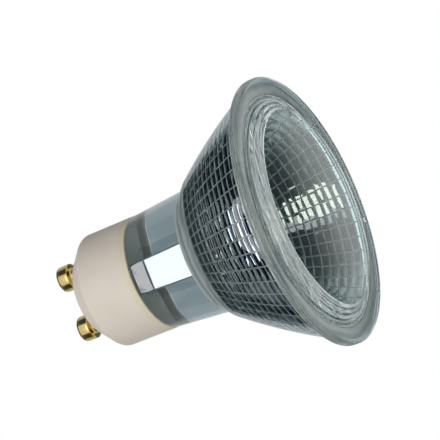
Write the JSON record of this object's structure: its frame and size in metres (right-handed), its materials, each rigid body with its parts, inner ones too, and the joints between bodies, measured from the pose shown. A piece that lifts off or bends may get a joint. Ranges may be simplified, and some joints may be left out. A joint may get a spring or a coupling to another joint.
{
  "type": "halogen reflector lamp",
  "caption": "Round glass spotlight lamp: a faceted mirrored bowl behind a stepped front glass, on a bevelled ceramic cap with brass bayonet contacts; it throws a narrow beam.",
  "frame": {"origin": "centre of the window of the front glass, on its outer face, which the lamp stands on", "axes": "+Z along the lamp's axis from the front glass to the contacts, +X through both contacts"},
  "size_m": [0.0506, 0.0506, 0.0536],
  "materials": {
    "pressed_glass": "clear pressed soda glass",
    "mirrored_glass": "clear pressed glass, mirrored on its faceted inner face",
    "steatite": "matt fired cream ceramic",
    "brass": "bright turned brass",
    "quartz": "clear fused quartz",
    "tungsten": "drawn tungsten wire, dark grey",
    "molybdenum": "rolled molybdenum foil",
    "lead_wire": "drawn nickel-plated wire",
    "glass_fibre": "woven glass-fibre sleeve, off-white",
    "lamp_cement": "rough cured ceramic cement",
    "adhesive": "clear cured silicone adhesive",
    "solder": "bright soft solder"
  },
  "bodies": {
    "root": {"front_glass": "pressed_glass", "reflector": "mirrored_glass", "rim_adhesive": "adhesive", "ceramic_cap": "steatite", "cap_cement": "lamp_cement", "contact_left": "brass", "contact_right": "brass", "capsule_envelope": "quartz", "filament": "tungsten", "filament_support": "tungsten", "inner_lead_left": "tungsten", "inner_lead_right": "tungsten", "foil_left": "molybdenum", "foil_right": "molybdenum", "outer_lead_left": "lead_wire", "outer_lead_right": "lead_wire", "sleeve_left": "glass_fibre", "sleeve_right": "glass_fibre", "pinch_cement": "lamp_cement", "solder_left": "solder", "solder_right": "solder"}
  },
  "joints": []
}
